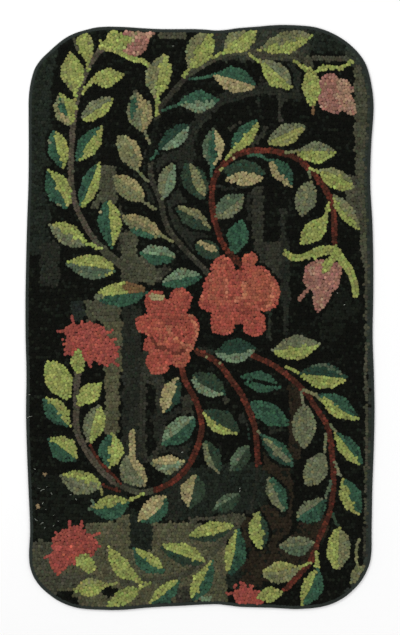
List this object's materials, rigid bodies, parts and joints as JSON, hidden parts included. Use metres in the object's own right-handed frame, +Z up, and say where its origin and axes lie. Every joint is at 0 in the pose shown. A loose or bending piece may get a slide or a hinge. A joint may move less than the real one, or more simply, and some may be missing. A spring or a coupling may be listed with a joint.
{
  "type": "hooked rug",
  "caption": "Flat hooked rug with rounded corners and slightly wavy sides: looped wool pile on burlap, with scrolling leaves and flowers on a dark ground, and a bound edge.",
  "frame": {"origin": "on the floor, under the middle of the rug's overall width and length", "axes": "+Z up out of the pile, +Y along the rug's length, towards the end with the two pink buds, +X across its width"},
  "size_m": [0.91, 1.5248, 0.0081],
  "materials": {
    "wool_ground": "looped wool, matte, black to charcoal and olive brown",
    "wool_leaves": "looped wool, matte, yellow green, teal, sage and tan",
    "wool_flowers": "looped wool, matte, coral and dusty pink",
    "burlap": "plain-woven jute, matte",
    "cotton_tape": "twill-woven cotton, matte, green black",
    "sewing_thread": "cotton thread, matte, dark green"
  },
  "bodies": {
    "root": {"hooked_cloth": "wool_ground", "edge_tape": "cotton_tape"}
  },
  "joints": []
}
